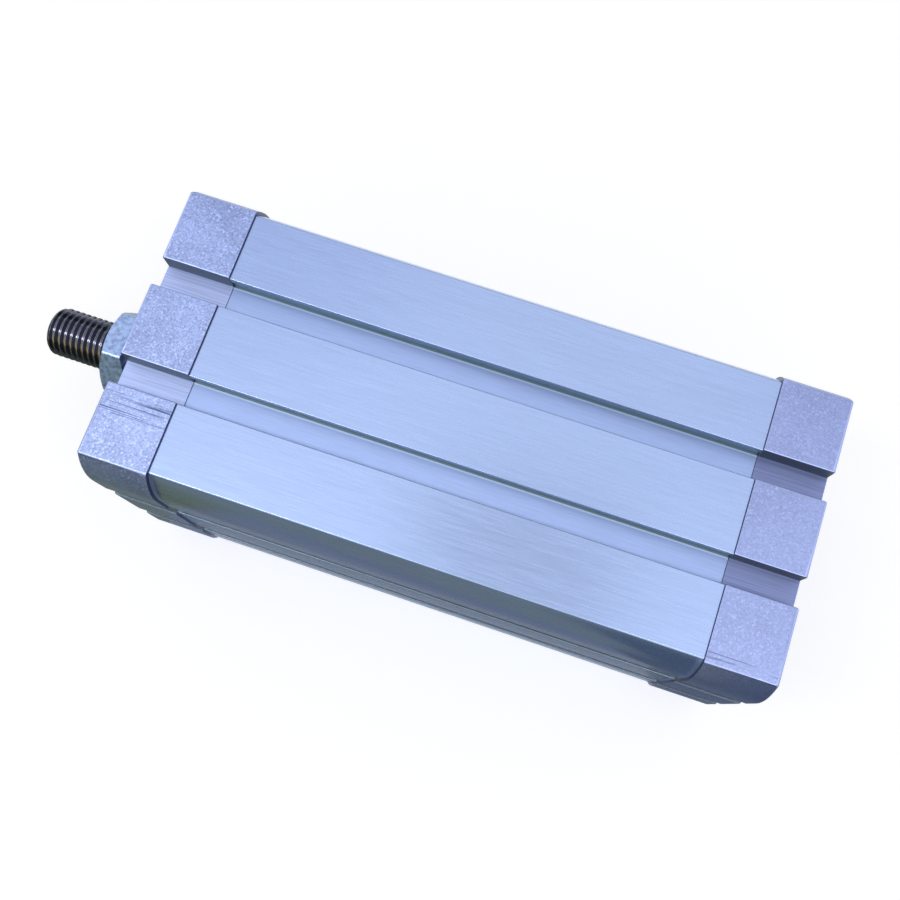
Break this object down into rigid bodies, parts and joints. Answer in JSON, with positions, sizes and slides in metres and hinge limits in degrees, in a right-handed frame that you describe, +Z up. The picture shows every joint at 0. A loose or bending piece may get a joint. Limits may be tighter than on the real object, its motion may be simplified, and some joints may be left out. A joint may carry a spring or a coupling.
{
  "type": "compact pneumatic cylinder",
  "caption": "Compact square pneumatic cylinder: slotted extruded barrel between cast end caps, piston rod with male thread and thin lock nut that slides along the axis.",
  "frame": {"origin": "centre of the rod cap's outer face, on the cylinder's axis", "axes": "+X along the axis, the way the rod moves out; +Z up; the air ports face -Y"},
  "size_m": [0.1524, 0.0576, 0.0576],
  "materials": {
    "barrel_aluminium": "drawn and clear anodised, fine streaks along the length",
    "cap_aluminium": "die cast and blasted, fine sparkling grain",
    "screw_steel": "zinc plated",
    "rod_steel": "ground and hard chromed rod, rolled thread",
    "nut_steel": "zinc plated",
    "bush_bronze": "plain bearing bronze",
    "seal_rubber": "moulded, black",
    "buffer_rubber": "moulded elastic buffer",
    "piston_aluminium": "turned",
    "magnet": "sintered permanent magnet",
    "guide_plastic": "low friction guide strip"
  },
  "bodies": {
    "housing": {"barrel": "barrel_aluminium", "rod_cap": "cap_aluminium", "rear_cap": "cap_aluminium", "rod_cap_screws": "screw_steel", "rear_cap_screws": "screw_steel", "rod_bush": "bush_bronze", "rod_wiper": "seal_rubber", "rod_seal": "seal_rubber", "rod_cap_o_ring": "seal_rubber", "rear_cap_o_ring": "seal_rubber", "front_buffer": "buffer_rubber", "rear_buffer": "buffer_rubber"},
    "rod": {"piston_rod": "rod_steel", "lock_nut": "nut_steel", "piston_front": "piston_aluminium", "piston_rear": "piston_aluminium", "magnet_ring": "magnet", "guide_band": "guide_plastic", "front_piston_seal": "seal_rubber", "rear_piston_seal": "seal_rubber", "piston_o_ring": "seal_rubber", "piston_screw": "screw_steel"}
  },
  "joints": [
    {"name": "rod_slide", "type": "slide", "parent": "housing", "child": "rod", "axis": [1, 0, 0], "range_m": [0, 0.08]}
  ]
}
